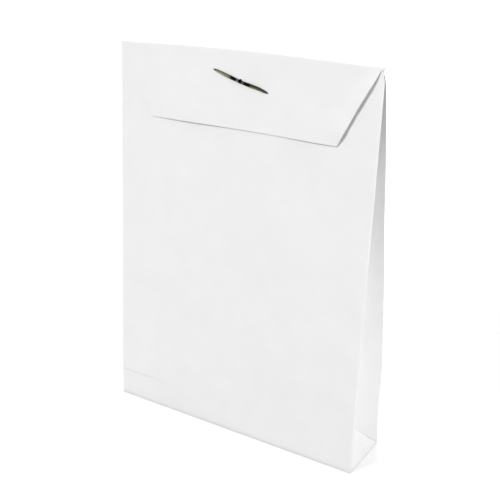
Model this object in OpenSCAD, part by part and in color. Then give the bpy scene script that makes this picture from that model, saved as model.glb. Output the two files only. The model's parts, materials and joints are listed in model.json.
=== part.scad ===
// Gusseted paper envelope with a block base, a tapered closing flap and a split-pin clasp.
// It stands on its opened base with the mouth pinched shut: seen from the side it is a wedge.
// Origin: middle of the base, on the floor. The front faces -Y, the right side is +X, +Z is up.

/* [Envelope] */
// Width of the front and back panels
env_w = 250; // [180:1:350]
// Length of the front and back panels, from the base edge to the top fold
panel_h = 340; // [260:1:450]
// Depth of the opened base, which is the width of each gusset
base_d = 55; // [40:1:80]
// Thickness of the paper
paper_t = 0.3; // [0.2:0.05:0.35]
// Space between the front and back panels at the pinched mouth
mouth_gap = 2; // [1.9:0.1:3]

/* [Flap] */
// Height of the flap below the top fold
flap_h = 62; // [45:1:90]
// Width of the flap at its hem
hem_w = 178; // [120:1:230]

/* [Base and seam] */
// How far the two glued base flaps lie over each other
base_lap = 20; // [10:1:30]
// Width of the glued lap that closes the paper into a tube
seam_w = 12; // [8:1:20]

/* [Clasp] */
// Distance of the clasp below the top fold
clasp_drop = 21.7; // [15:0.1:30]
// How far the spread legs are turned from level, right tip down
clasp_tilt = 15.7; // [-45:0.1:45]
// Length of each leg, from the middle of the clasp to its tip
leg_l = 27.5; // [18:0.5:35]
// Width of each leg where it leaves the hole
leg_w = 3; // [2:0.1:4]
// Thickness of the leg's sheet metal
leg_t = 0.5; // [0.4:0.05:0.6]
// Diameter of the head, which lies inside behind the front panel
head_d = 11; // [8:0.5:16]
// Height of the head's low dome
head_h = 1.1; // [0.8:0.1:1.3]
// Diameter of the hole in the flap and in the front panel
hole_d = 4; // [4:0.5:7]

/* [Hidden] */
$fn = 64;

paper = "whitesmoke";
metal = [0.44, 0.42, 0.30];

// Room left between sheets that lie on each other, between glued layers, at a crease where two
// panels turn, and below the top fold
sheet_gap = 0.15;
lay_gap = 0.05;
crease_gap = 0.2;
fold_gap = 0.5;

half_w = env_w / 2;
half_d = base_d / 2;

// The panels lean in until only the mouth's gap is left between them at the top
mouth_y = mouth_gap / 2 + paper_t;
lean = asin((half_d - mouth_y) / panel_h);
rise = paper_t * sin(lean);
top_z = rise + panel_h * cos(lean);

// The crease that lets the base fold flat runs half a base depth above the base edge
crease_h = half_d;

// The flap's outer face ends level with the roll of the top fold
flap_y = -sheet_gap - paper_t;
fold_r = (2 * mouth_y + sheet_gap + paper_t) / 2;
fold_y = mouth_y - fold_r;
flap_top = panel_h - fold_gap;

// The base is four layers: front flap, back flap, folded ears and side tucks
base_edge = half_d - 2 * paper_t;
base_side = half_w - 2 * lay_gap;
tuck_l = half_d + base_lap / 2;
ear_z = 2 * (paper_t + lay_gap);
base_top = ear_z + 2 * paper_t;

// The foot of a gusset is the triangle between the base edge and the two corner creases.
// It leans in by the one angle at which its creases keep their length on the leaning panels.
foot_lean = acos((1 - sin(lean)) / cos(lean));
foot_gap = 0.1;
foot_x = half_w - foot_gap - paper_t - lay_gap;
foot_z = base_top + foot_gap;
foot_half = base_edge - 2 * paper_t;

// A gusset's wings run from the panels' side edges to the centre crease. Low down they end on the
// corner creases, which run from the base's corners to the crease point over the foot.
wing_gap = 2.5 * paper_t;
wing_x = half_w - lay_gap;
wing_l = half_d - paper_t - wing_gap;
corner_gap = 0.6;
wing_margin = 2;
corner_rise = foot_half * cos(foot_lean);
corner_z = foot_z + corner_gap;
crease_x = wing_x - foot_half * sin(foot_lean);
crease_z = corner_z + corner_rise;
wing_bottom = corner_z + wing_margin;
wing_top = top_z - 2 * fold_gap;

// Levels of a wing beside the foot and above it, where they crowd towards the crease point
corner_steps = 4;
wing_steps = 16;
wing_crowd = 1.3;

// The clasp's legs lie on the flap and swing out about a knuckle in the hole
leg_y = flap_y - sheet_gap - leg_t / 2;
knuckle_x = 0.8;
knuckle_r = 0.45;
knuckle_w = 0.8 * leg_w;
leg_arch = 0.5;

// Height of the head's straight rim, and how far the shank stops short of the flap's outer face
rim_h = 0.3;
shank_gap = 0.2;

// Outline of a leg: share of its length, then half its width as a share of leg_w
leg_outline = [[0, 0.4], [0.12, 0.5], [0.6, 0.42], [0.88, 0.22], [1, 0.02]];
leg_steps = 12;

// Puts children drawn on the front panel, x across and z up along the paper, where the panel leans
module on_front() {
    translate([0, -half_d, rise]) rotate([-lean, 0, 0]) children();
}

// The same for the back panel, whose outer face looks the other way
module on_back() {
    mirror([0, 1, 0]) on_front() children();
}

// Stands a flat outline up as a sheet of paper, with its outer face at y = 0
module sheet(t = paper_t) {
    translate([0, t, 0]) rotate([90, 0, 0]) linear_extrude(t) children();
}

// An outline of the full width between two distances from the base edge
module band(low, high) {
    translate([-half_w, low]) square([env_w, high - low]);
}

module clasp_hole() {
    translate([0, panel_h - clasp_drop]) circle(d = hole_d);
}

module back_panel() {
    color(paper) on_back() sheet() band(0, panel_h);
}

// The roll of paper over the mouth, from the back panel to the flap
module top_fold() {
    color(paper)
        translate([-half_w, fold_y, top_z]) rotate([90, 0, 90]) linear_extrude(env_w)
            difference() {
                circle(fold_r);
                circle(fold_r - paper_t);
                translate([-2 * fold_r, -2 * fold_r]) square([4 * fold_r, 2 * fold_r]);
            }
}

// The margin that is glued inside the back panel to close the tube
module seam_lap() {
    low = base_top + wing_margin;
    high = panel_h - wing_margin;
    color(paper) on_back() translate([0, paper_t + lay_gap, 0]) sheet()
        translate([-half_w + lay_gap, low]) square([seam_w, high - low]);
}

module closing_flap() {
    hem = panel_h - flap_h;
    color(paper) on_front() translate([0, flap_y, 0]) sheet() difference() {
        polygon([[-half_w, flap_top], [-hem_w / 2, hem], [hem_w / 2, hem], [half_w, flap_top]]);
        clasp_hole();
    }
}

module front_panel() {
    color(paper) on_front() sheet() difference() {
        band(crease_h + crease_gap / 2, flap_top);
        clasp_hole();
    }
}

// The strip of the front panel below the crease, which turns with the base
module front_base_strip() {
    color(paper) on_front() sheet() band(0, crease_h - crease_gap / 2);
}

// A base flap reaches past the middle, and its ends are mitred along the corner creases
module base_flap(z) {
    reach = base_edge + base_lap / 2;
    translate([0, 0, z]) linear_extrude(paper_t) polygon([
        [-base_side, -base_edge], [base_side, -base_edge],
        [base_side - reach, base_lap / 2], [-base_side + reach, base_lap / 2]
    ]);
}

module base_front_flap() {
    color(paper) base_flap(0);
}

module base_back_flap() {
    color(paper) mirror([0, 1, 0]) base_flap(paper_t + lay_gap);
}

// The end of a gusset, turned in over the base, with the two ears that fold under the base flaps
module base_tuck() {
    inner = base_side - tuck_l;
    middle = lay_gap;
    translate([inner, -base_edge, ear_z + paper_t]) cube([tuck_l, 2 * base_edge, paper_t]);
    for (side = [0, 1]) mirror([0, side, 0]) translate([0, 0, ear_z]) linear_extrude(paper_t)
        polygon([
            [base_side, -base_edge], [inner, -base_edge],
            [inner, -middle], [base_side - base_edge + middle, -middle]
        ]);
}

module base_right_tuck() {
    color(paper) base_tuck();
}

module base_left_tuck() {
    color(paper) mirror([1, 0, 0]) base_tuck();
}

// The triangle at the foot of a gusset, on its own crease along the base's side
module gusset_foot() {
    translate([foot_x, 0, foot_z]) rotate([0, -foot_lean, 0])
        translate([foot_gap, 0, 0]) rotate([90, 0, 90]) linear_extrude(paper_t)
            polygon([[-foot_half, lay_gap], [foot_half, lay_gap], [0, foot_half]]);
}

module right_gusset_foot() {
    color(paper) gusset_foot();
}

module left_gusset_foot() {
    color(paper) mirror([1, 0, 0]) gusset_foot();
}

// Where the edge of a front wing stands at height z: a little behind the front panel
function wing_edge(z) = [wing_x, -half_d + paper_t + wing_gap + z * tan(lean)];

// Where the wing ends on the corner crease, below the crease point
function corner_end(z) =
    let (share = (z - corner_z) / corner_rise)
    [wing_x + (crease_x - wing_x) * share, -foot_half * (1 - share) - foot_gap * share];

// Where it ends above that point: the wing keeps its width of paper, so the centre crease moves in
function centre_end(z) =
    let (out = wing_edge(z).y + foot_gap)
    [wing_x - sqrt(max(0, wing_l ^ 2 - out ^ 2)), -foot_gap];

// One level of a wing: its two ends, then the same points moved in by the paper's thickness
function wing_level(z) =
    let (a = wing_edge(z), b = z < crease_z ? corner_end(z) : centre_end(z))
    let (run = (b - a) / norm(b - a), inward = paper_t * [-run.y, run.x])
    [for (p = [a, b, b + inward, a + inward]) [p.x, p.y, z]];

// The front half of the right gusset, a sheet that is square to the panel at the base and turns
// until it lies flat on the panel at the mouth
module gusset_wing() {
    low = [for (i = [0 : corner_steps - 1]) wing_bottom + (crease_z - wing_bottom) * i / corner_steps];
    high = [for (i = [0 : wing_steps])
        crease_z + (wing_top - crease_z) * (i / wing_steps) ^ wing_crowd];
    levels = concat(low, high);
    points = [for (z = levels) each wing_level(z)];
    last = len(points) - 4;
    bottom = [[0, 1, 2], [0, 2, 3]];
    top = [[last, last + 2, last + 1], [last, last + 3, last + 2]];
    sides = [for (ring = [0 : 4 : last - 1], k = [0 : 3])
        let (a = ring + k, b = ring + (k + 1) % 4)
        each [[a, a + 4, b], [b, a + 4, b + 4]]];
    polyhedron(points, concat(bottom, top, sides));
}

module right_gusset_front() {
    color(paper) gusset_wing();
}

module right_gusset_rear() {
    color(paper) mirror([0, 1, 0]) gusset_wing();
}

module left_gusset_front() {
    color(paper) mirror([1, 0, 0]) gusset_wing();
}

module left_gusset_rear() {
    color(paper) mirror([1, 0, 0]) mirror([0, 1, 0]) gusset_wing();
}

// Puts children drawn with the legs along x and the flap's outer side towards -y at the clasp
module at_clasp() {
    on_front() translate([0, 0, panel_h - clasp_drop]) rotate([0, clasp_tilt, 0]) children();
}

// The low domed head inside, and the short shank that goes through the front panel's hole
module clasp_head() {
    dome = head_h - rim_h;
    dome_r = ((head_d / 2) ^ 2 + dome ^ 2) / (2 * dome);
    shank_out = -flap_y - shank_gap;
    shank = [2 * knuckle_x, shank_out + paper_t + head_h / 2, knuckle_w];
    color(metal) at_clasp() {
        translate([0, paper_t + lay_gap, 0]) rotate([-90, 0, 0]) rotate_extrude() intersection() {
            square([head_d / 2, head_h]);
            translate([0, head_h - dome_r]) circle(dome_r, $fn = 256);
        }
        translate([-shank.x / 2, -shank_out, -shank.z / 2]) cube(shank);
    }
}

// How far the middle of a leg's sheet stands off the flap, bowed between the hole and the tip
function leg_bow(x) = leg_y - 4 * leg_arch * (x / leg_l) * (1 - x / leg_l);

// A pointed leg: its bowed side view cut to its tapered outline, on a round knuckle
module clasp_leg() {
    run = leg_l - knuckle_x;
    places = [for (i = [0 : leg_steps]) knuckle_x + run * i / leg_steps];
    outer = [for (x = places) [x, leg_bow(x) - leg_t / 2]];
    inner = [for (i = [leg_steps : -1 : 0]) [places[i], leg_bow(places[i]) + leg_t / 2]];
    upper = [for (p = leg_outline) [knuckle_x + p.x * run, p.y * leg_w]];
    lower = [for (i = [len(upper) - 1 : -1 : 0]) [upper[i].x, -upper[i].y]];
    intersection() {
        translate([0, 0, -leg_w]) linear_extrude(2 * leg_w) polygon(concat(outer, inner));
        translate([0, 3 * leg_y, 0]) rotate([-90, 0, 0]) linear_extrude(-3 * leg_y)
            polygon(concat(upper, lower));
    }
    translate([knuckle_x, leg_y, -knuckle_w / 2]) cylinder(r = knuckle_r, h = knuckle_w);
}

module clasp_right_leg() {
    color(metal) at_clasp() clasp_leg();
}

module clasp_left_leg() {
    color(metal) at_clasp() rotate([0, 180, 0]) clasp_leg();
}

back_panel();
top_fold();
seam_lap();
closing_flap();
front_panel();
front_base_strip();
base_front_flap();
base_back_flap();
base_left_tuck();
base_right_tuck();
left_gusset_front();
left_gusset_rear();
left_gusset_foot();
right_gusset_front();
right_gusset_rear();
right_gusset_foot();
clasp_head();
clasp_left_leg();
clasp_right_leg();
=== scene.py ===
# White gusseted envelope, standing on its opened base with the mouth pinched shut: sheets of paper
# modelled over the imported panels, and a split-pin clasp that holds the flap down.
import json
import math

import bmesh
import bpy
from mathutils import Matrix, Vector


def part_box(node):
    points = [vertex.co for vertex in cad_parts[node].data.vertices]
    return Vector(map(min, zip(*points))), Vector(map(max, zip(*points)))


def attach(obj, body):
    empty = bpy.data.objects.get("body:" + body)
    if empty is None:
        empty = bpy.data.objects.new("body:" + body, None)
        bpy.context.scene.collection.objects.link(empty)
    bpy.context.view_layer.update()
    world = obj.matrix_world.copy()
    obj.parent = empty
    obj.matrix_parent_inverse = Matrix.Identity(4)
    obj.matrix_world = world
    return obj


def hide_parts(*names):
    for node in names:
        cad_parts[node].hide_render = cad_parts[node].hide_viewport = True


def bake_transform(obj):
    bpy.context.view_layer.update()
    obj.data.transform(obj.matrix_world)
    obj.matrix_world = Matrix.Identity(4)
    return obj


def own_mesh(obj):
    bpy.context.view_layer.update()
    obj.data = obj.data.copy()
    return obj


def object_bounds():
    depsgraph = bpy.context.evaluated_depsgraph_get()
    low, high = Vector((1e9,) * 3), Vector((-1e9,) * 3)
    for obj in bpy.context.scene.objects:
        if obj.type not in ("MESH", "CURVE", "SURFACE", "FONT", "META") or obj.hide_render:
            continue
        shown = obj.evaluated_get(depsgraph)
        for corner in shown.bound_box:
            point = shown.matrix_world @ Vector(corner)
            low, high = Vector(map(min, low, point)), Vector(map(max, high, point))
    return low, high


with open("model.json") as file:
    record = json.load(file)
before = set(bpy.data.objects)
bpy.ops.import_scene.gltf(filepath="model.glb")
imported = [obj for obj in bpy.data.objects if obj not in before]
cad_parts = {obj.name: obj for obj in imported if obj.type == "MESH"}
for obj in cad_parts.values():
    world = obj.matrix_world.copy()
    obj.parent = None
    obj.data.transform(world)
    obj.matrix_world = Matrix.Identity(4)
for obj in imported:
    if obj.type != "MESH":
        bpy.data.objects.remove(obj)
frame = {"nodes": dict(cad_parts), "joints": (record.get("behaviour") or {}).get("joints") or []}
cad_low, cad_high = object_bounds()

MM = 0.001

# Points this close belong to one row of a sheet
SAME_ROW = 0.002 * MM

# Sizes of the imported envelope. The front faces -Y, and the panels lean in to the top fold.
joints = {joint["name"]: joint for joint in frame["joints"]}
HALF_W = (cad_high.x - cad_low.x) / 2
HALF_D = (cad_high.y - cad_low.y) / 2
LEAN = math.radians(joints["front_fold"]["range_deg"][1]) / 2
TOP_Z = joints["front_fold"]["pos_m"][2]
FOLD_Y = joints["flap_hinge"]["pos_m"][1]
base_low, base_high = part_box("base_front_flap")
PAPER = base_high.z - base_low.z
RISE = PAPER * math.sin(LEAN)
PANEL_H = (TOP_Z - RISE) / math.cos(LEAN)
MOUTH_Y = HALF_D - PANEL_H * math.sin(LEAN)
FOLD_R = MOUTH_Y - FOLD_Y
CREASE_H = HALF_D
LAY_GAP = 0.05 * MM

# The flap lies on the front panel; its hem is its lowest edge
FLAP_OUT = 2 * (FOLD_R - MOUTH_Y)
flap_points = [point.co for point in frame["nodes"]["closing_flap"].data.vertices]
hem_z = min(point.z for point in flap_points)
HEM_HALF = max(point.x for point in flap_points if point.z < hem_z + PAPER)
HEM_S = (hem_z - RISE) / math.cos(LEAN)
FLAP_S = PANEL_H - FLAP_OUT * math.tan(LEAN)

# The foot of a gusset turns on the base's side and leans in
FOOT = Vector(joints["right_foot_fold"]["pos_m"])
FOOT_LEAN = math.radians(90 - joints["right_foot_fold"]["range_deg"][1])
foot_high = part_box("right_gusset_foot")[1]
FOOT_HALF = foot_high.y
FOOT_OUT = (foot_high.x - FOOT.x) / math.cos(FOOT_LEAN)

# The clasp: the middle between its knuckles, and how far its legs are turned from level
knuckles = [Vector(joints[side + "_leg_bend"]["pos_m"]) for side in ("left", "right")]
CLASP = (knuckles[0] + knuckles[1]) / 2
KNUCKLE_X = (knuckles[1] - knuckles[0]).length / 2
TILT = math.asin(joints["left_leg_bend"]["axis"][0])
AT_CLASP = Matrix.Translation(CLASP) @ Matrix.Rotation(-LEAN, 4, "X") @ Matrix.Rotation(TILT, 4, "Y")


def clasp_points(node):
    """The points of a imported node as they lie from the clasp: along its legs, inwards and across."""
    return [AT_CLASP.inverted() @ point.co for point in frame["nodes"][node].data.vertices]


leg_points = clasp_points("clasp_right_leg")
tip_x = max(point.x for point in leg_points)
tip_y = [point.y for point in leg_points if point.x > tip_x - SAME_ROW]
LEG_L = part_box("clasp_right_leg")[1].x / math.cos(TILT)
LEG_W = 2 * max(point.z for point in leg_points)
LEG_T = max(tip_y) - min(tip_y)
HOLE_R = min(math.hypot(point.x, point.z) for point in clasp_points("front_panel"))

# Places of the unturned front and back sheets on the envelope, and their ways out of it
ON_FRONT = Matrix.Translation((0, -HALF_D, RISE)) @ Matrix.Rotation(-LEAN, 4, "X")
ON_BACK = Matrix.Rotation(math.pi, 4, "Z") @ ON_FRONT


def smooth(start, end, value):
    """0 at the start, 1 at the end, with an even run between."""
    share = min(max((value - start) / (end - start), 0), 1)
    return share * share * (3 - 2 * share)


# Hand tools: a piece is opened in edit mode, worked on and shut again

def select_only(piece):
    bpy.ops.object.select_all(action="DESELECT")
    bpy.context.view_layer.objects.active = piece
    piece.select_set(True)


def open_piece(piece):
    select_only(piece)
    bpy.ops.object.mode_set(mode="EDIT")
    bpy.ops.mesh.select_mode(type="VERT")
    bpy.ops.mesh.select_all(action="DESELECT")


def shut_piece():
    bpy.ops.object.mode_set(mode="OBJECT")


def pick(piece, wanted):
    """Selects the points whose place passes the test."""
    mesh = bmesh.from_edit_mesh(piece.data)
    for point in mesh.verts:
        point.select = bool(wanted(point.co))
    mesh.select_flush_mode()
    bmesh.update_edit_mesh(piece.data)


def push(piece, wanted, move, reach=0.0, falloff="SMOOTH"):
    """Moves the picked points, and with a reach the paper round them too."""
    pick(piece, wanted)
    bpy.ops.transform.translate(
        value=move, use_proportional_edit=reach > 0,
        proportional_edit_falloff=falloff, proportional_size=max(reach, PAPER))


def turn(angle, axis, centre, reach=0.0):
    """Turns the selected points; with no window the operator turns the other way."""
    bpy.ops.transform.rotate(
        value=-angle, orient_axis=axis, center_override=centre, use_proportional_edit=reach > 0,
        proportional_edit_falloff="SMOOTH", proportional_size=max(reach, PAPER))


def cut(at, normal):
    """Cuts the whole open piece along a plane."""
    bpy.ops.mesh.select_all(action="SELECT")
    bpy.ops.mesh.bisect(plane_co=at, plane_no=normal)


# Bench tools: each works on a whole piece

def flat_sheet(name, left, right, low, high, across, up):
    """A flat sheet standing in the XZ plane, its outer face towards -Y."""
    bpy.ops.object.select_all(action="DESELECT")
    bpy.ops.mesh.primitive_grid_add(
        x_subdivisions=across, y_subdivisions=up, size=1,
        location=((left + right) / 2, 0, (low + high) / 2), rotation=(math.pi / 2, 0, 0))
    sheet = bpy.context.object
    sheet.name = sheet.data.name = name
    sheet.scale = (right - left, high - low, 1)
    bpy.ops.object.transform_apply(location=True, rotation=True, scale=True)
    return sheet


def row_heights(piece):
    return sorted({round(point.co.z, 6) for point in piece.data.vertices})


def taper(piece, width_share):
    """Narrows each row of an unturned sheet to its share of the width."""
    rows = row_heights(piece)
    open_piece(piece)
    for height in rows:
        pick(piece, lambda p: abs(p.z - height) < SAME_ROW)
        bpy.ops.transform.resize(value=(width_share(height), 1, 1), center_override=(0, 0, 0))
    shut_piece()


def place(piece, matrix):
    """Sets a finished outline in its place, which goes into its mesh."""
    select_only(piece)
    piece.matrix_world = matrix
    bpy.ops.object.transform_apply(location=True, rotation=True, scale=True)


def apply_modifier(piece, kind, **settings):
    select_only(piece)
    modifier = piece.modifiers.new(kind.lower(), kind)
    for setting, value in settings.items():
        setattr(modifier, setting, value)
    bpy.ops.object.modifier_apply(modifier=modifier.name)


def thicken(piece):
    """Gives a sheet the paper's thickness behind its outer face."""
    apply_modifier(piece, "SOLIDIFY", thickness=PAPER, offset=-1, use_even_offset=True)


def finish_shading(piece, degrees=30):
    """Shades a piece smooth, apart from edges that are sharper than an angle."""
    select_only(piece)
    bpy.ops.object.shade_smooth_by_angle(angle=math.radians(degrees))


def mirrored(piece, name):
    """A copy on the other side, with its own mesh and its faces turned outwards again."""
    twin = piece.copy()
    twin.data = piece.data.copy()
    twin.name = twin.data.name = name
    bpy.context.collection.objects.link(twin)
    place(twin, Matrix.Diagonal((-1, 1, 1, 1)))
    open_piece(twin)
    bpy.ops.mesh.select_all(action="SELECT")
    bpy.ops.mesh.normals_make_consistent(inside=False)
    shut_piece()
    return twin


def punch(piece):
    """Punches the clasp's hole through a sheet."""
    bpy.ops.object.select_all(action="DESELECT")
    bpy.ops.mesh.primitive_cylinder_add(vertices=32, radius=HOLE_R, depth=20 * PAPER)
    punch_tool = bpy.context.object
    place(punch_tool, Matrix.Translation(CLASP) @ Matrix.Rotation(math.pi / 2 - LEAN, 4, "X"))
    apply_modifier(piece, "BOOLEAN", operation="DIFFERENCE", object=punch_tool, solver="EXACT")
    bpy.data.objects.remove(punch_tool)


# Shapes that several sheets share

# the top edge rises a little towards its middle: half the width that is pushed, the rise and the
# reach in millimetres
CROWN = ((3, 1.5, 118), (80, 0.9, 36))


def crown_top(piece):
    open_piece(piece)
    for half, rise, reach in CROWN:
        push(piece, lambda p: abs(p.x) < half * MM and p.z > TOP_Z - FOLD_R,
             (0, 0, rise * MM), reach * MM)
    shut_piece()


# at the ends of its fold the mouth is pressed flat, and the right end sits a little in and down
FOLD_END, FOLD_DEEP = 4 * MM, 2.5 * MM
PINCH, PINCH_REACH = 0.35, 19 * MM
CORNER_IN, CORNER_DROP, CORNER_REACH = 1.2 * MM, 0.9 * MM, 11 * MM


def at_fold_end(p, side):
    return side * p.x > HALF_W - FOLD_END and p.z > TOP_Z - FOLD_DEEP


def pinch_ends(piece):
    """Presses the layers together at the ends of the fold, towards the flap's outer face."""
    open_piece(piece)
    for side in (-1, 1):
        pick(piece, lambda p: at_fold_end(p, side))
        bpy.ops.transform.resize(
            value=(1, PINCH, 1), center_override=(0, FOLD_Y - FOLD_R, 0), use_proportional_edit=True,
            proportional_edit_falloff="SMOOTH", proportional_size=PINCH_REACH)
    push(piece, lambda p: at_fold_end(p, 1), (-CORNER_IN, 0, -CORNER_DROP), CORNER_REACH)
    shut_piece()


# a fold of this paper isn't sharp: the edge of a panel turns in over a narrow strip
SIDE_TURN, SIDE_STRIP = 0.38 * MM, 0.8 * MM
BASE_TURN, BASE_STRIP = 0.9 * MM, 1.1 * MM
# where the strip is cut, as shares of its width, and how much of the turn each cut edge takes
STRIP_CUTS = (1.0, 0.55)
STRIP_TURNS = ((0.75, 0.3), (0.25, 0.7))


def soften_fold(sheet, edge, way_out, turn_in, strip):
    """Turns in an edge of an open, unturned sheet: a place on the edge, and the way out of the sheet."""
    for share in STRIP_CUTS:
        cut(edge - way_out * strip * share, way_out)
    for share, amount in STRIP_TURNS:
        push(sheet, lambda p: (edge - p).dot(way_out) < strip * share, (0, turn_in * amount, 0))


def soften_folds(sheet):
    """The side folds and the base fold of a panel."""
    for side in (-1, 1):
        soften_fold(sheet, Vector((side * HALF_W, 0, 0)), Vector((side, 0, 0)), SIDE_TURN, SIDE_STRIP)
    soften_fold(sheet, Vector((0, 0, 0)), Vector((0, 0, -1)), BASE_TURN, BASE_STRIP)


# the back panel bows out above the base: how far, where the bow starts and is full, and where it
# falls off and ends
BACK_BOWS = ((3 * MM, 20 * MM, 72 * MM, 250 * MM, TOP_Z),
             (3 * MM, 46 * MM, 74 * MM, 150 * MM, 230 * MM))


def back_bow(z):
    """How far the back panel stands out behind its flat place at a height."""
    return sum(out * smooth(start, full, z) * smooth(end, fall, z)
               for out, start, full, fall, end in BACK_BOWS)


def bow_back(sheet):
    """Bows an unturned sheet of the back, row after row."""
    rows = row_heights(sheet)
    open_piece(sheet)
    for height in rows:
        push(sheet, lambda p: abs(p.z - height) < SAME_ROW, (0, -back_bow(height), 0))
    shut_piece()


# How finely the sheets are divided, and how far round a spot the points are pushed with it
ACROSS, FRONT_UP, BACK_UP, FLAP_UP = 50, 68, 85, 16
FRONT_HOLD, FLAP_HOLD = 3.6 * MM, 2.6 * MM

# Front of the envelope: the panel and the strip below the base crease are one sheet

CREASE_STEPS = 3
CREASE_ROW = 0.5 * MM
# runs of the ridge and of the strip from the left edge, and how far they stand out or back, in
# millimetres
RIDGE = ((14, 0.12), (28, 0.12), (42, 0.1), (56, 0.06))
STRIP_BACK = ((16, 0.07), (32, 0.05), (48, 0.03))
# soft waves of the panel: across, up, out and reach in millimetres
WAVES = ((-70, 150, -0.5, 70), (30, 190, -0.7, 80), (60, 95, -0.5, 60),
         (-20, 75, 0.4, 55), (85, 225, 0.5, 60), (-85, 235, -0.4, 60))

front_sheet = flat_sheet("front_sheet", -HALF_W, HALF_W, 0, PANEL_H, ACROSS, FRONT_UP)
open_piece(front_sheet)
for step in range(-CREASE_STEPS, CREASE_STEPS + 1):
    cut((0, 0, CREASE_H + step * CREASE_ROW), (0, 0, 1))
# the scored crease stands out as a ridge at the left edge, and fades out along the strip
for run, out in RIDGE:
    push(front_sheet, lambda p: p.x < -HALF_W + run * MM and abs(p.z - CREASE_H) < PAPER / 2,
         (0, -out * MM, 0), CREASE_H, "LINEAR")
# and the strip sits a little behind the ridge there, one row of the crease after another
for step in range(1, CREASE_STEPS + 1):
    row = CREASE_H - step * CREASE_ROW
    pick(front_sheet, lambda p: p.z > row + CREASE_ROW / 2)
    bpy.ops.mesh.hide()
    for run, set_back in STRIP_BACK:
        push(front_sheet, lambda p: p.x < -HALF_W + run * MM and p.z > row - CREASE_ROW / 2,
             (0, set_back * MM, 0), CREASE_H, "LINEAR")
    bpy.ops.mesh.reveal(select=False)
for x, up, out, reach in WAVES:
    push(front_sheet, lambda p: math.hypot(p.x - x * MM, p.z - up * MM) < FRONT_HOLD,
         (0, out * MM, 0), reach * MM)
soften_folds(front_sheet)
shut_piece()
thicken(front_sheet)
place(front_sheet, ON_FRONT)
crown_top(front_sheet)
punch(front_sheet)
finish_shading(front_sheet)

# Back of the envelope

back_sheet = flat_sheet("back_sheet", -HALF_W, HALF_W, 0, PANEL_H, ACROSS, BACK_UP)
bow_back(back_sheet)
open_piece(back_sheet)
soften_folds(back_sheet)
shut_piece()
thicken(back_sheet)
place(back_sheet, ON_BACK)
crown_top(back_sheet)
finish_shading(back_sheet)

# The glued margin inside the back panel

lap_low, lap_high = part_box("seam_lap")
seam_strip = flat_sheet("seam_strip", -lap_high.x, -lap_low.x, lap_low.z, lap_high.z, 2, BACK_UP)
bow_back(seam_strip)
thicken(seam_strip)
place(seam_strip, ON_BACK @ Matrix.Translation((0, PAPER + LAY_GAP, 0)))
finish_shading(seam_strip)

# The closing flap, which runs over the top fold to the back panel

# its sides start a little inside the ends of the fold
SETBACK, SHOULDER = 1.7 * MM, 1 * MM
TOP_HALF = HALF_W - SETBACK
EDGE_TOP = Vector((TOP_HALF, 0, FLAP_S))
EDGE_HEM = Vector((HEM_HALF, 0, HEM_S))
# how far its right edge stands off the panel: share of the way down, out and reach in millimetres
EDGE_LIFTS = ((0.06, 2.2, 9), (0.18, 2.2, 12), (0.35, 2.0, 16), (0.55, 1.6, 16), (0.75, 1.6, 16),
              (0.9, 1.2, 12))
# its hem stands off in places, most to the left of the middle: across, out and reach in millimetres
HEM_LIFTS = ((-45, 1.15, 62), (16, 0.4, 30), (66, 0.9, 40))
HEM_OUT, HEM_OUT_REACH = 1.4 * MM, 40 * MM
HEM_RISE = 1.4 * MM
FOLD_STEPS = 12


def flap_half(height):
    """Half the flap's width at a height of the unturned sheet."""
    straight = HEM_HALF + (TOP_HALF - HEM_HALF) * (height - HEM_S) / (FLAP_S - HEM_S)
    return straight + SETBACK * smooth(FLAP_S - SHOULDER, FLAP_S, height)


flap_sheet = flat_sheet("flap_sheet", -HALF_W, HALF_W, HEM_S, FLAP_S, ACROSS, FLAP_UP)
open_piece(flap_sheet)
cut((0, 0, FLAP_S - SHOULDER), (0, 0, 1))
shut_piece()
taper(flap_sheet, lambda height: flap_half(height) / HALF_W)
open_piece(flap_sheet)
for share, out, reach in EDGE_LIFTS:
    lifted = EDGE_TOP.lerp(EDGE_HEM, share)
    push(flap_sheet, lambda p: (p - lifted).length < FLAP_HOLD, (0, -out * MM, 0), reach * MM)
# its lower right corner sits a little further out than the left one
push(flap_sheet, lambda p: (p - EDGE_HEM).length < FLAP_HOLD, (HEM_OUT, 0, 0), HEM_OUT_REACH)
# and the hem rises a little from there to the left
pick(flap_sheet, lambda p: p.z < HEM_S + SAME_ROW)
turn(HEM_RISE / (2 * HEM_HALF), "Y", EDGE_HEM, FLAP_S - HEM_S)
for x, out, reach in HEM_LIFTS:
    lifted = Vector((x * MM, 0, HEM_S))
    push(flap_sheet, lambda p: (p - lifted).length < FLAP_HOLD, (0, -out * MM, 0), reach * MM)
shut_piece()
place(flap_sheet, ON_FRONT @ Matrix.Translation((0, -FLAP_OUT, 0)))
open_piece(flap_sheet)
pick(flap_sheet, lambda p: p.z > TOP_Z - PAPER / 10)
bpy.ops.mesh.spin(steps=FOLD_STEPS, angle=math.pi, center=(0, FOLD_Y, TOP_Z), axis=(1, 0, 0))
shut_piece()
thicken(flap_sheet)
crown_top(flap_sheet)
punch(flap_sheet)
finish_shading(flap_sheet, 40)

# Gusset wings: each is a sheet pulled up edge by edge between a panel's side and the centre crease

EDGE_X = HALF_W - LAY_GAP
WING_TOP = TOP_Z - 1 * MM
CORNER_STEPS, WING_STEPS, WING_ACROSS = 8, 30, 8


def foot_place(y, slope):
    """A place on the right foot's outer face: y along the base, and a way up its slope."""
    return Vector((FOOT.x + FOOT_OUT * math.cos(FOOT_LEAN) - slope * math.sin(FOOT_LEAN), y,
                   FOOT.z + FOOT_OUT * math.sin(FOOT_LEAN) + slope * math.cos(FOOT_LEAN)))


def inner_face(z):
    """How far the panels' inner faces stand from the middle plane at a height."""
    return HALF_D - PAPER / math.cos(LEAN) - z * math.tan(LEAN)


CORNER = foot_place(-FOOT_HALF, PAPER)
APEX = foot_place(0, FOOT_HALF)
WING_L = math.hypot(EDGE_X - APEX.x, inner_face(APEX.z))


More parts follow.
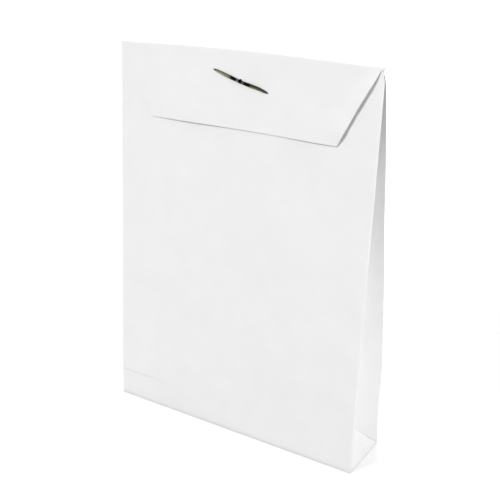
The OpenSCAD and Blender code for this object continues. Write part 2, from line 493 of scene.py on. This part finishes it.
def wing_ends(z, rear, lap):
    """The two ends of a right wing at a height: on its panel's side, then on the crease."""
    front_y, rear_y = -inner_face(z), inner_face(z) + back_bow(z)
    half = (rear_y - front_y) / 2
    depth = math.sqrt(max(WING_L ** 2 - half ** 2, 0))
    crease = Vector((EDGE_X - depth, (front_y + rear_y) / 2, z))
    if z < APEX.z:
        crease = CORNER.lerp(APEX, (z - CORNER.z) / (APEX.z - CORNER.z))
        crease.y *= -1 if rear else 1
    # a wing that lies along its panel needs room for its own thickness and for a lap under it
    room = lap + PAPER * depth / WING_L + LAY_GAP
    root = Vector((EDGE_X, rear_y - room if rear else front_y + room, z))
    crease.y += LAY_GAP if rear else -LAY_GAP
    return root, crease


def gusset_wing(name, rear, lap=0.0):
    """A right wing; lap is the thickness of what lies between it and its panel."""
    low = [CORNER.z + (APEX.z - CORNER.z) * step / CORNER_STEPS for step in range(CORNER_STEPS)]
    high = [APEX.z + (WING_TOP - APEX.z) * step / WING_STEPS for step in range(WING_STEPS + 1)]
    levels = [wing_ends(z, rear, lap) for z in low + high]
    root, crease = levels[0]
    wing = flat_sheet(name, 0, (crease - root).length, 0, PAPER, WING_ACROSS, 1)
    open_piece(wing)
    pick(wing, lambda p: p.z > PAPER / 2)
    bpy.ops.mesh.delete(type="VERT")
    bpy.ops.mesh.select_all(action="SELECT")
    bpy.ops.transform.translate(value=root)
    turn(math.atan2(crease.y - root.y, crease.x - root.x), "Z", root)
    for (root, crease), (next_root, next_crease) in zip(levels, levels[1:]):
        run, next_run = crease - root, next_crease - next_root
        bpy.ops.mesh.extrude_edges_move(TRANSFORM_OT_translate={"value": next_root - root})
        turn(math.atan2(next_run.y, next_run.x) - math.atan2(run.y, run.x), "Z", next_root)
        longer = next_run.length / run.length
        bpy.ops.transform.resize(value=(longer, longer, 1), center_override=next_root)
    shut_piece()
    if sum(face.normal.x for face in wing.data.polygons) < 0:
        open_piece(wing)
        bpy.ops.mesh.select_all(action="SELECT")
        bpy.ops.mesh.flip_normals()
        shut_piece()
    thicken(wing)
    finish_shading(wing)
    return wing


right_front_wing = gusset_wing("right_front_wing", rear=False)
right_rear_wing = gusset_wing("right_rear_wing", rear=True)
left_front_wing = mirrored(right_front_wing, "left_front_wing")
# the glued margin lies under the left rear wing
lapped_wing = gusset_wing("lapped_wing", rear=True, lap=PAPER + LAY_GAP)
left_rear_wing = mirrored(lapped_wing, "left_rear_wing")
bpy.data.objects.remove(lapped_wing)

for piece in (front_sheet, back_sheet, seam_strip, flap_sheet,
              right_front_wing, right_rear_wing, left_front_wing, left_rear_wing):
    pinch_ends(piece)

# The feet of the gussets: triangles between the base's side and the two corner creases

FOOT_STEPS = 24
FOOT_DROP = 0.9 * MM  # the fold below the hinge, down to the floor
# the gusset's centre crease still shows as a short dent above the base: along, up and in, in
# millimetres
DENTS = ((4, 0, 0.8), (3, 4, 0.7), (2, 8, 0.4))
DENT_R, DENT_REACH = 1.5 * MM, 2.4 * MM

right_foot_sheet = flat_sheet("right_foot_sheet", -FOOT_HALF, FOOT_HALF, 0, FOOT_HALF,
                              FOOT_STEPS, FOOT_STEPS)
taper(right_foot_sheet, lambda height: max(1 - height / FOOT_HALF, PAPER / FOOT_HALF))
open_piece(right_foot_sheet)
pick(right_foot_sheet, lambda p: p.z < PAPER / 2)
bpy.ops.mesh.extrude_edges_move(TRANSFORM_OT_translate={"value": (0, SIDE_TURN, -FOOT_DROP)})
for x, up, dent in DENTS:
    push(right_foot_sheet, lambda p: math.hypot(p.x - x * MM, p.z - up * MM) < DENT_R,
         (0, dent * MM, 0), DENT_REACH, "SHARP")
shut_piece()
thicken(right_foot_sheet)
place(right_foot_sheet,
      Matrix.Translation(FOOT) @ Matrix.Rotation(-FOOT_LEAN, 4, "Y")
      @ Matrix.Translation((FOOT_OUT, 0, 0)) @ Matrix.Rotation(math.pi / 2, 4, "Z"))
finish_shading(right_foot_sheet)
left_foot_sheet = mirrored(right_foot_sheet, "left_foot_sheet")

# Legs of the clasp: tapered strips, each rolled round its knuckle and bowed until its tip is down

LEG_ROLL, LEG_BOW, LEG_CROWN, LEG_EDGE = 0.42 * MM, 0.5 * MM, 0.1 * MM, 0.12 * MM
LEG_ALONG, LEG_ACROSS = 32, 6
BELLY_AT = 0.6
KNUCKLE_TURN, KNUCKLE_STEPS = math.radians(200), 8
# width of a leg along its length, as shares of the length and of the full width
LEG_WIDTHS = ((0, 0.8), (0.1, 0.85), (0.35, 0.94), (0.7, 0.9), (0.86, 0.7), (0.95, 0.42), (1, 0.1))


def leg_width(share):
    for (start, wide), (end, next_wide) in zip(LEG_WIDTHS, LEG_WIDTHS[1:]):
        if share <= end:
            return wide + (next_wide - wide) * (share - start) / (end - start)
    return LEG_WIDTHS[-1][1]


def clasp_leg(name, belly, tip_rise, where):
    """A leg made along +X with its outer face towards -Y, then set in its place on the flap."""
    leg = flat_sheet(name, KNUCKLE_X, LEG_L, -LEG_W / 2, LEG_W / 2, LEG_ALONG, LEG_ACROSS)
    columns = sorted({round(point.co.x, 7) for point in leg.data.vertices})
    open_piece(leg)
    for x in columns:
        share = (x - KNUCKLE_X) / (LEG_L - KNUCKLE_X)
        out = LEG_ROLL * (1 - share) + LEG_BOW * share * (1 - share)
        pick(leg, lambda p: abs(p.x - x) < SAME_ROW)
        bpy.ops.transform.resize(value=(1, 1, leg_width(share)), center_override=(0, 0, 0))
        bpy.ops.transform.translate(value=(0, -out, 0))
    push(leg, lambda p: abs(p.z) < LEG_W / 20, (0, -LEG_CROWN, 0), LEG_W / 2)
    push(leg, lambda p: abs(p.x - BELLY_AT * LEG_L) < LEG_W / 5, (0, 0, belly), LEG_L / 2)
    push(leg, lambda p: p.x > LEG_L - LEG_W / 5, (0, 0, tip_rise), LEG_L, "LINEAR")
    pick(leg, lambda p: p.x < KNUCKLE_X + SAME_ROW)
    bpy.ops.mesh.spin(steps=KNUCKLE_STEPS, angle=KNUCKLE_TURN, center=(KNUCKLE_X, 0, 0), axis=(0, 0, 1))
    shut_piece()
    apply_modifier(leg, "SOLIDIFY", thickness=LEG_T, offset=0, use_even_offset=True)
    apply_modifier(leg, "BEVEL", width=LEG_EDGE, segments=2, limit_method="ANGLE")
    place(leg, where)
    finish_shading(leg, 35)
    return leg


right_leg_strip = clasp_leg("right_leg_strip", 0.45 * MM, 0.9 * MM, AT_CLASP)
left_leg_strip = clasp_leg("left_leg_strip", 0.1 * MM, -0.3 * MM,
                           AT_CLASP @ Matrix.Rotation(math.pi, 4, "Y"))

# Materials

def linear(colour):
    """Linear RGBA of an sRGB hex colour."""
    parts = [int(colour[i:i + 2], 16) / 255 for i in (1, 3, 5)]
    return (*(c / 12.92 if c <= 0.04045 else ((c + 0.055) / 1.055) ** 2.4 for c in parts), 1)


def add(tree, kind, settings=None, **sockets):
    """Adds a node: its settings, and its sockets as values or as links from other nodes' outputs."""
    node = tree.nodes.new(kind)
    for name, value in (settings or {}).items():
        setattr(node, name, value)
    for name, value in sockets.items():
        key = int(name[1:]) if name[1:].isdigit() else name.replace("_", " ")
        if isinstance(value, bpy.types.NodeSocket):
            tree.links.new(value, node.inputs[key])
        else:
            node.inputs[key].default_value = value
    return node


def new_material(name):
    material = bpy.data.materials.new(name)
    material.use_nodes = True
    material.node_tree.nodes.clear()
    return material, material.node_tree


# Bleached kraft paper, uncoated and calendered: a matt white, faintly cloudy where the fibres lie
# thicker, with a soft tooth that keeps it from looking like plastic.
CLOUD = 22 * MM
FIBRE = 1.6 * MM  # real fibres are about 0.03 mm wide; drawn coarser so that the tooth shows
FIBRE_SHARE = 0.4
TOOTH = 0.08 * MM
PAPER_TONES = ((0.4, "#E5E5E5"), (1.0, "#E9E9E9"))
paper, tree = new_material("bleached_kraft_paper")
on_paper = add(tree, "ShaderNodeTexCoord").outputs["Object"]
clouds = add(tree, "ShaderNodeTexNoise", Vector=on_paper, Scale=1 / CLOUD, Detail=3.0)
fibres = add(tree, "ShaderNodeTexNoise", Vector=on_paper, Scale=1 / FIBRE, Detail=4.0, Roughness=0.6)
mottle = add(tree, "ShaderNodeMath", {"operation": "MULTIPLY_ADD"},
             _0=fibres.outputs["Fac"], _1=FIBRE_SHARE, _2=clouds.outputs["Fac"])
tone = add(tree, "ShaderNodeValToRGB", Fac=mottle.outputs["Value"])
tooth = add(tree, "ShaderNodeBump", Height=fibres.outputs["Fac"], Strength=0.12, Distance=TOOTH)
skin = add(tree, "ShaderNodeBsdfPrincipled", Base_Color=tone.outputs["Color"], Roughness=0.82,
           Normal=tooth.outputs["Normal"], IOR=1.46)
add(tree, "ShaderNodeOutputMaterial", Surface=skin.outputs["BSDF"])

# Brass-plated steel strip, stamped and bent, gone dull. The olive is the brass's own colour; the black
# and grey bands along each leg and the dark tips are painted reflections, and the darker upper edge and
# darker right leg are painted shade.
STAIN = 2.5 * MM
STAIN_SHARE = 0.08
# along a leg, as shares of its length: olive brass, with painted dark and light reflections as black and
# grey bands
LEG_TONES_AND_PAINTED_REFLECTIONS = ((0.09, "#050504"), (0.115, "#5A5A54"), (0.16, "#66665E"), (0.19, "#0C0C08"),
           (0.36, "#16160F"), (0.44, "#6A6B52"), (0.75, "#85866E"), (0.93, "#74756A"),
           (1.0, "#2E2E28"))
# painted shade: the upper edge of the legs and the whole right leg are darkened in the colour
UPPER_EDGE_PAINTED_SHADE, RIGHT_LEG_PAINTED_SHADE = 0.3, 0.6  # how much of the brass's brightness is left there
brass, tree = new_material("brass_plate_painted_reflections_and_shade")
on_brass = add(tree, "ShaderNodeTexCoord").outputs["Object"]
from_hole = add(tree, "ShaderNodeVectorMath", {"operation": "SUBTRACT"}, _0=on_brass, _1=CLASP)
distance = add(tree, "ShaderNodeVectorMath", {"operation": "LENGTH"}, _0=from_hole.outputs["Vector"])
along = add(tree, "ShaderNodeMath", {"operation": "DIVIDE"}, _0=distance.outputs["Value"], _1=LEG_L)
stain = add(tree, "ShaderNodeTexNoise", Vector=on_brass, Scale=1 / STAIN, Detail=3.0)
stained = add(tree, "ShaderNodeMath", {"operation": "MULTIPLY_ADD"},
              _0=stain.outputs["Fac"], _1=STAIN_SHARE, _2=along.outputs["Value"])
# painted reflections: this ramp lays black and grey bands along each leg in place of reflections in the
# shiny strip
painted_reflection_ramp = add(tree, "ShaderNodeValToRGB", Fac=stained.outputs["Value"])
# painted shade: the colour darkens towards the upper edge of each leg
upwards = add(tree, "ShaderNodeVectorMath", {"operation": "DOT_PRODUCT"},
              _0=from_hole.outputs["Vector"], _1=AT_CLASP.to_3x3() @ Vector((0, 0, 1)))
painted_edge_shade = add(tree, "ShaderNodeMapRange", {"interpolation_type": "SMOOTHSTEP"},
                 Value=upwards.outputs["Value"],
                 From_Min=0.05 * LEG_W, From_Max=0.28 * LEG_W, To_Min=1.0, To_Max=UPPER_EDGE_PAINTED_SHADE)
with_painted_edge_shade = add(tree, "ShaderNodeVectorMath", {"operation": "SCALE"},
            _0=painted_reflection_ramp.outputs["Color"], Scale=painted_edge_shade.outputs["Result"])
# painted shade: the right leg is darkened as a whole
rightwards = add(tree, "ShaderNodeVectorMath", {"operation": "DOT_PRODUCT"},
                 _0=from_hole.outputs["Vector"], _1=AT_CLASP.to_3x3() @ Vector((1, 0, 0)))
painted_leg_shade = add(tree, "ShaderNodeMapRange", Value=rightwards.outputs["Value"],
                From_Min=-LEG_W, From_Max=LEG_W, To_Min=1.0, To_Max=RIGHT_LEG_PAINTED_SHADE)
with_painted_shade = add(tree, "ShaderNodeVectorMath", {"operation": "SCALE"},
             _0=with_painted_edge_shade.outputs["Vector"], Scale=painted_leg_shade.outputs["Result"])
metal = add(tree, "ShaderNodeBsdfPrincipled", Base_Color=with_painted_shade.outputs["Vector"], Metallic=1.0,
            Roughness=0.38)
add(tree, "ShaderNodeOutputMaterial", Surface=metal.outputs["BSDF"])

# the stops of both colour ramps
for ramp, stops in ((tone, PAPER_TONES), (painted_reflection_ramp, LEG_TONES_AND_PAINTED_REFLECTIONS)):
    elements = ramp.color_ramp.elements
    while len(elements) < len(stops):
        elements.new(1.0)
    for element, (position, colour) in zip(elements, stops):
        element.position, element.color = position, linear(colour)

# What each piece rides on, stands for and is made of


def make_of(piece, material):
    piece.data.materials.clear()
    piece.data.materials.append(material)


paper_pieces = {
    front_sheet: ("front_panel", "front_base_strip"),
    back_sheet: ("back_panel",),
    seam_strip: ("seam_lap",),
    flap_sheet: ("closing_flap", "top_fold"),
    right_front_wing: ("right_gusset_front",),
    right_rear_wing: ("right_gusset_rear",),
    left_front_wing: ("left_gusset_front",),
    left_rear_wing: ("left_gusset_rear",),
    right_foot_sheet: ("right_gusset_foot",),
    left_foot_sheet: ("left_gusset_foot",),
}
for piece, nodes in paper_pieces.items():
    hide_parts(*nodes)
    make_of(piece, paper)

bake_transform(front_sheet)
# the roll over the mouth bends along one line near the back; a wider bend would stand out over the
# front when the flap has made its half turn
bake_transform(flap_sheet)

# when the envelope folds flat, its bowed back and its gussets are pressed onto their panels
for piece in (back_sheet, seam_strip):
    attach(piece, "back")
    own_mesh(piece)
for piece in (right_rear_wing, left_rear_wing):
    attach(piece, "back")
    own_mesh(piece)
for piece in (right_front_wing, left_front_wing):
    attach(piece, "front")
    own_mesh(piece)
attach(right_foot_sheet, "right_foot")
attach(left_foot_sheet, "left_foot")
for leg, side in ((left_leg_strip, "left"), (right_leg_strip, "right")):
    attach(leg, side + "_leg")
    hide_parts("clasp_" + side + "_leg")
    make_of(leg, brass)

for name in ("base_front_flap", "base_back_flap", "base_left_tuck", "base_right_tuck"):
    make_of(frame["nodes"][name], paper)
make_of(frame["nodes"]["clasp_head"], brass)

# Floor, light and camera


def seen_rays(tree):
    """1 for rays that show the surroundings: to the camera, in metal or through a clear piece."""
    ray = add(tree, "ShaderNodeLightPath")
    shown = add(tree, "ShaderNodeMath", {"operation": "MAXIMUM"},
                _0=ray.outputs["Is Camera Ray"], _1=ray.outputs["Is Glossy Ray"])
    seen = add(tree, "ShaderNodeMath", {"operation": "MAXIMUM"},
               _0=shown.outputs["Value"], _1=ray.outputs["Is Transmission Ray"])
    return seen.outputs["Value"]


# a matt grey sheet that the camera sees lighter than it's lit, up to plain white away from the
# envelope: distances in metres
FLOOR_SIZE = 30
NEAR_LIFT, FAR_LIFT = 0.48, 1.0
NEAR, FAR = 0.5, 2.5
bpy.ops.object.select_all(action="DESELECT")
bpy.ops.mesh.primitive_plane_add(size=FLOOR_SIZE)
floor = bpy.context.object
floor.name = "floor"
sweep, tree = new_material("paper_sweep")
on_floor = add(tree, "ShaderNodeTexCoord").outputs["Object"]
away = add(tree, "ShaderNodeVectorMath", {"operation": "LENGTH"}, _0=on_floor)
lift = add(tree, "ShaderNodeMapRange", {"interpolation_type": "SMOOTHSTEP"}, Value=away.outputs["Value"],
           From_Min=NEAR, From_Max=FAR, To_Min=NEAR_LIFT, To_Max=FAR_LIFT)
seen_lift = add(tree, "ShaderNodeMath", {"operation": "MULTIPLY"},
                _0=seen_rays(tree), _1=lift.outputs["Result"])
glow = add(tree, "ShaderNodeEmission", Color=(1, 1, 1, 1), Strength=seen_lift.outputs["Value"])
surface = add(tree, "ShaderNodeBsdfDiffuse", Color=linear("#B8B8B8"))
both = add(tree, "ShaderNodeAddShader", _0=surface.outputs["BSDF"], _1=glow.outputs["Emission"])
add(tree, "ShaderNodeOutputMaterial", Surface=both.outputs["Shader"])
floor.data.materials.append(sweep)

AMBIENT = 0.33
world = bpy.data.worlds.new("studio")
bpy.context.scene.world = world
world.use_nodes = True
tree = world.node_tree
tree.nodes.clear()
strength = add(tree, "ShaderNodeMapRange", Value=seen_rays(tree), To_Min=AMBIENT, To_Max=1.0)
sky = add(tree, "ShaderNodeBackground", Color=(1, 1, 1, 1), Strength=strength.outputs["Result"])
add(tree, "ShaderNodeOutputWorld", Surface=sky.outputs["Background"])


def direction(azimuth, elevation):
    """The way out from the envelope at an azimuth and elevation in degrees; azimuth 0 is the front."""
    round_z, up = math.radians(azimuth), math.radians(elevation)
    return Vector((math.sin(round_z) * math.cos(up), -math.cos(round_z) * math.cos(up), math.sin(up)))


def soft_box(name, azimuth, elevation, metres, size, level):
    """A square soft lamp that looks at the middle of the envelope, with its size in metres too; a
    white card that faces it there renders at the level."""
    way = direction(azimuth, elevation)
    bpy.ops.object.light_add(type="AREA", location=Vector((0, 0, TOP_Z / 2)) + way * metres,
                             rotation=way.to_track_quat("Z", "Y").to_euler())
    lamp = bpy.context.object
    lamp.name = name
    lamp.data.size = size
    lamp.data.energy = level * (math.pi * metres) ** 2


soft_box("key_light", -26, 40, 16.0, 1.6, 0.72)
soft_box("side_light", 90, 30, 4.0, 2.0, 0.73)
soft_box("back_light", -150, 35, 5.0, 2.5, 0.7)

# The photo's camera
VIEW_AZIMUTH, VIEW_ELEVATION = 32.37, 21.98
VIEW_DISTANCE = 755.25 * MM
AIM = Vector((6.95, 0, 171.02)) * MM
LENS, SENSOR = 62.51, 36
view_way = direction(VIEW_AZIMUTH, VIEW_ELEVATION)
bpy.ops.object.camera_add(location=AIM + view_way * VIEW_DISTANCE,
                          rotation=(-view_way).to_track_quat("-Z", "Y").to_euler())
camera = bpy.context.object
camera.data.lens = LENS
camera.data.sensor_width = SENSOR
bpy.context.scene.camera = camera
bpy.context.scene.view_settings.view_transform = "Standard"
